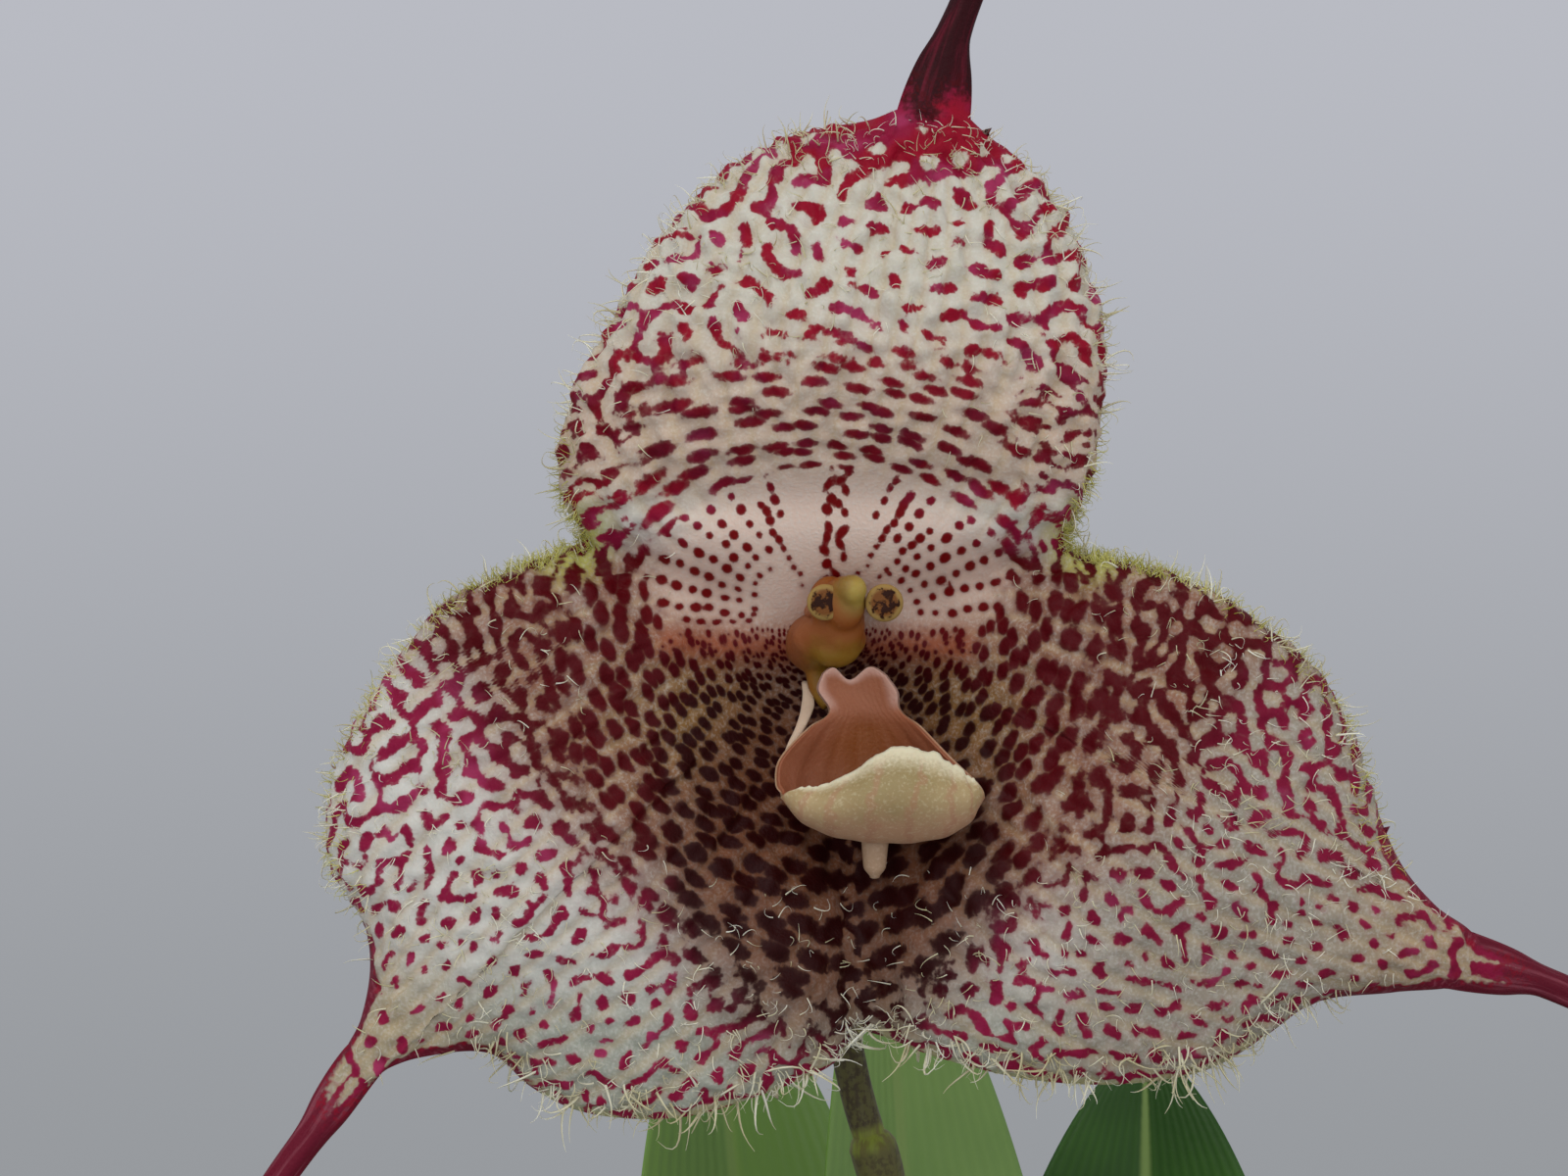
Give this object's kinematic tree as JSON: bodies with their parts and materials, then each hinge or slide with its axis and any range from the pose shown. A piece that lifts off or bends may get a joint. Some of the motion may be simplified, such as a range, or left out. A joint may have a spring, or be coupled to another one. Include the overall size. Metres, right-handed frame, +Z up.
{
  "type": "potted orchid plant",
  "caption": "Potted orchid with a tuft of strap leaves and one open long-tailed spotted flower on an upright stalk.",
  "frame": {"origin": "centre of the pot's base", "axes": "+Z up the plant, and the flower faces -Y"},
  "size_m": [0.1398, 0.1425, 0.3432],
  "materials": {
    "clay": "matte unglazed clay",
    "medium": "moss over bark",
    "leaf": "satin leaf",
    "stalk": "satin stem",
    "sepal": "cream with maroon spots, hairy",
    "petal": "cream with dark dots",
    "column": "waxy orange brown",
    "lip": "waxy cream and pink"
  },
  "bodies": {
    "root": {"pot": "clay", "growing_medium": "medium", "flower_stalk": "stalk", "sepals": "sepal", "column": "column", "lip": "lip", "petal_left": "petal", "petal_right": "petal", "leaf_01": "leaf", "leaf_02": "leaf", "leaf_03": "leaf", "leaf_04": "leaf", "leaf_05": "leaf", "leaf_06": "leaf", "leaf_07": "leaf", "leaf_08": "leaf", "leaf_09": "leaf", "leaf_10": "leaf", "leaf_11": "leaf", "leaf_12": "leaf", "leaf_13": "leaf"}
  },
  "joints": []
}
